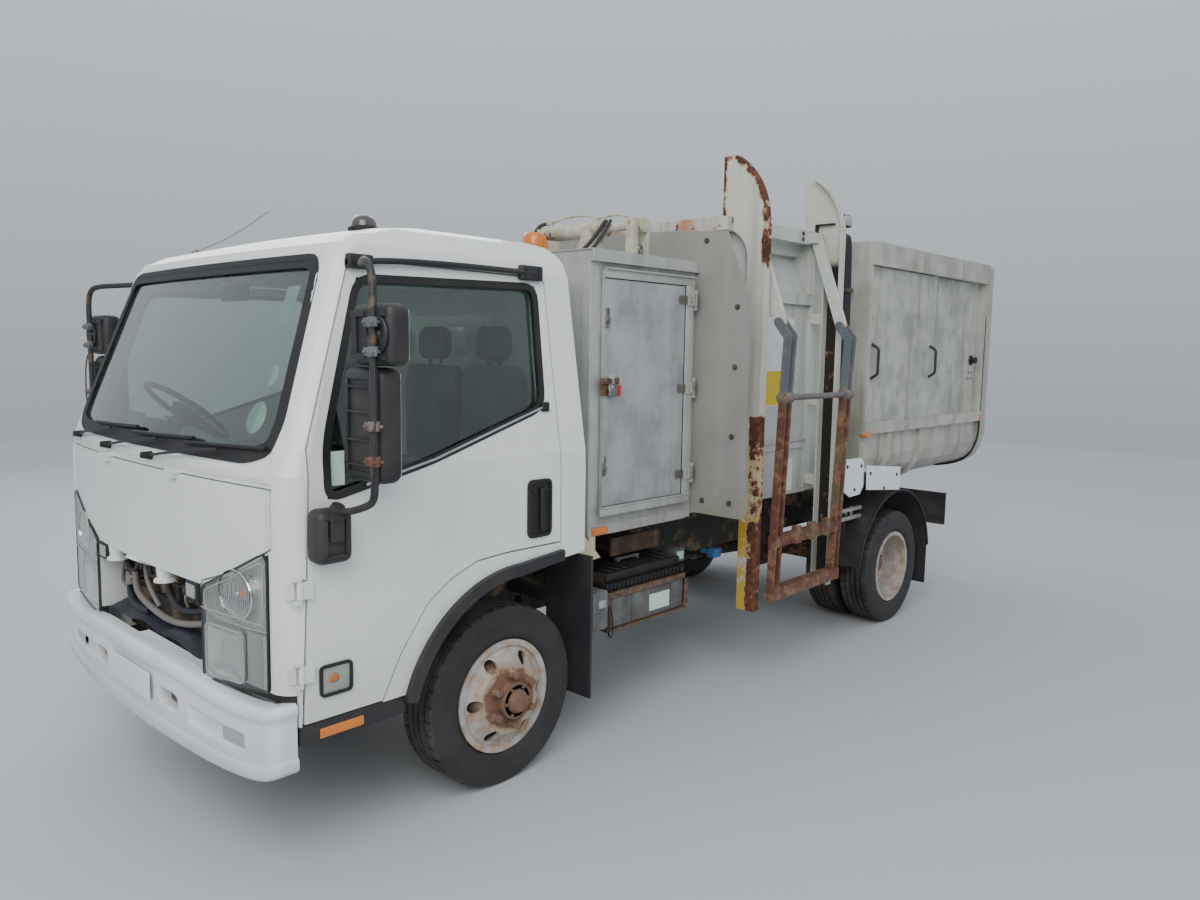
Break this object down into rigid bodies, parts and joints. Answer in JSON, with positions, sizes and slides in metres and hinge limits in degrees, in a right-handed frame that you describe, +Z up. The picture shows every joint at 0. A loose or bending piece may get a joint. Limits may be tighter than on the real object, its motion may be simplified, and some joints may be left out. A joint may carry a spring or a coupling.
{
  "type": "side-loading garbage truck",
  "caption": "Forward-control truck with a side-loading refuse body: tilting cab, cabinet, hopper with bin lift on its kerb side, tipping container with sliding doors and tailgate.",
  "frame": {"origin": "on the ground below the middle of the overall box, on the truck's centre plane", "axes": "+Z up, the truck faces -Y, +X is its left side, the kerb side with the bin lift"},
  "size_m": [2.636, 6.108, 2.8259],
  "materials": {
    "chassis_black": "matt, dusty",
    "axle_black": "matt, dusty",
    "spring_steel": "matt, rusty",
    "engine_grey": "oily",
    "radiator_black": "matt",
    "exhaust_steel": "heat stained",
    "tank_grey": "satin",
    "battery": "dusty, rusty",
    "tyre": "worn",
    "wheel_grey": "worn, rusty hub",
    "knuckle": "matt",
    "bumper_white": "satin, dirty",
    "cab_white": "gloss, dirty",
    "lamp_glass": "clear, moulded",
    "glass": "clear",
    "interior": "matt",
    "trim_black": "matt",
    "mirror_black": "matt",
    "mudguard_black": "dusty",
    "board_black": "matt",
    "pod_grey": "brushed, streaked",
    "cylinder": "oily",
    "body_grey": "satin, algae streaks",
    "lift_grey": "worn, rusty",
    "lift_rust": "rusty",
    "door_white": "satin, dented",
    "plate_white": "gloss",
    "hose_black": "dusty"
  },
  "bodies": {
    "chassis": {"chassis_frame": "chassis_black", "front_axle": "axle_black", "leaf_springs": "spring_steel", "rear_axle": "axle_black", "propeller_shaft": "axle_black", "engine": "engine_grey", "radiator": "radiator_black", "exhaust": "exhaust_steel", "fuel_tank": "tank_grey", "battery_box": "battery", "bumper": "bumper_white", "mudguards": "mudguard_black", "tail_board": "board_black", "pod_shell": "pod_grey", "roof_cylinder": "cylinder", "front_wall": "body_grey"},
    "steer_left": {"left_knuckle": "knuckle"},
    "steer_right": {"right_knuckle": "knuckle"},
    "wheel_front_left": {"front_left_tyre": "tyre", "front_left_wheel": "wheel_grey"},
    "wheel_front_right": {"front_right_tyre": "tyre", "front_right_wheel": "wheel_grey"},
    "wheels_rear_left": {"rear_left_tyres": "tyre", "rear_left_wheels": "wheel_grey"},
    "wheels_rear_right": {"rear_right_tyres": "tyre", "rear_right_wheels": "wheel_grey"},
    "cab": {"cab_shell": "cab_white", "headlamps": "lamp_glass", "cab_glass": "glass", "cab_interior": "interior", "cab_trim": "trim_black"},
    "lid": {"front_lid": "cab_white"},
    "door_left": {"cab_door_left": "cab_white", "cab_door_glass_left": "glass", "mirrors_left": "mirror_black"},
    "door_right": {"cab_door_right": "cab_white", "cab_door_glass_right": "glass", "mirrors_right": "mirror_black"},
    "cabinet_door": {"pod_door": "pod_grey"},
    "tipper": {"hopper_shell": "body_grey", "header_beam": "body_grey", "lift_rails": "lift_grey", "container": "body_grey", "side_plates": "plate_white", "hoses": "hose_black"},
    "gate": {"tailgate": "body_grey"},
    "slide_front_left": {"side_door_front_left": "door_white"},
    "slide_front_right": {"side_door_front_right": "door_white"},
    "slide_rear_left": {"side_door_rear_left": "door_white"},
    "slide_rear_right": {"side_door_rear_right": "door_white"},
    "arms": {"lift_arms": "lift_grey"},
    "frame": {"lift_frame": "lift_rust"}
  },
  "joints": [
    {"name": "steer_left", "type": "hinge", "parent": "chassis", "child": "steer_left", "pos_m": [0.69, -1.936, 0.378], "axis": [0, 0, 1], "range_deg": [-35, 35]},
    {"name": "steer_right", "type": "hinge", "parent": "chassis", "child": "steer_right", "pos_m": [-0.69, -1.936, 0.378], "axis": [0, 0, 1], "range_deg": [-35, 35]},
    {"name": "spin_front_left", "type": "hinge", "parent": "steer_left", "child": "wheel_front_left", "pos_m": [0.84, -1.936, 0.378], "axis": [1, 0, 0], "continuous": true},
    {"name": "spin_front_right", "type": "hinge", "parent": "steer_right", "child": "wheel_front_right", "pos_m": [-0.84, -1.936, 0.378], "axis": [1, 0, 0], "continuous": true},
    {"name": "spin_rear_left", "type": "hinge", "parent": "chassis", "child": "wheels_rear_left", "pos_m": [0.825, 1.429, 0.378], "axis": [1, 0, 0], "continuous": true},
    {"name": "spin_rear_right", "type": "hinge", "parent": "chassis", "child": "wheels_rear_right", "pos_m": [-0.825, 1.429, 0.378], "axis": [1, 0, 0], "continuous": true},
    {"name": "cab_tilt", "type": "hinge", "parent": "chassis", "child": "cab", "pos_m": [0, -2.716, 0.78], "axis": [1, 0, 0], "range_deg": [0, 45]},
    {"name": "lid_lift", "type": "hinge", "parent": "cab", "child": "lid", "pos_m": [0, -3.008, 1.346], "axis": [-1, 0, 0], "range_deg": [0, 60]},
    {"name": "door_left_swing", "type": "hinge", "parent": "cab", "child": "door_left", "pos_m": [1.027, -2.886, 0.88], "axis": [0, 0, -1], "range_deg": [0, 70]},
    {"name": "door_right_swing", "type": "hinge", "parent": "cab", "child": "door_right", "pos_m": [-1.027, -2.886, 0.88], "axis": [0, 0, 1], "range_deg": [0, 70]},
    {"name": "cabinet_door_swing", "type": "hinge", "parent": "chassis", "child": "cabinet_door", "pos_m": [0.9, -0.66, 1.623], "axis": [0, 0, 1], "range_deg": [0, 90]},
    {"name": "body_tip", "type": "hinge", "parent": "chassis", "child": "tipper", "pos_m": [0, 2.464, 0.84], "axis": [-1, 0, 0], "range_deg": [0, 45]},
    {"name": "gate_swing", "type": "hinge", "parent": "tipper", "child": "gate", "pos_m": [0, 2.932, 2.532], "axis": [1, 0, 0], "range_deg": [0, 80]},
    {"name": "side_door_front_left_slide", "type": "slide", "parent": "tipper", "child": "slide_front_left", "axis": [0, 1, 0], "range_m": [0, 0.68]},
    {"name": "side_door_front_right_slide", "type": "slide", "parent": "tipper", "child": "slide_front_right", "axis": [0, 1, 0], "range_m": [0, 0.68]},
    {"name": "side_door_rear_left_slide", "type": "slide", "parent": "tipper", "child": "slide_rear_left", "axis": [0, -1, 0], "range_m": [0, 0.94]},
    {"name": "side_door_rear_right_slide", "type": "slide", "parent": "tipper", "child": "slide_rear_right", "axis": [0, -1, 0], "range_m": [0, 0.94]},
    {"name": "lift_swing", "type": "hinge", "parent": "tipper", "child": "arms", "pos_m": [0.925, 0.139, 2.47], "axis": [0, -1, 0], "range_deg": [0, 140]},
    {"name": "lift_level", "type": "hinge", "parent": "arms", "child": "frame", "pos_m": [1.105, 0.139, 1.965], "axis": [0, -1, 0], "range_deg": [-140, 0]}
  ],
  "couplings": [
    {"joint": "steer_right", "follows": "steer_left", "ratio": 1},
    {"joint": "lift_level", "follows": "lift_swing", "ratio": -1}
  ]
}
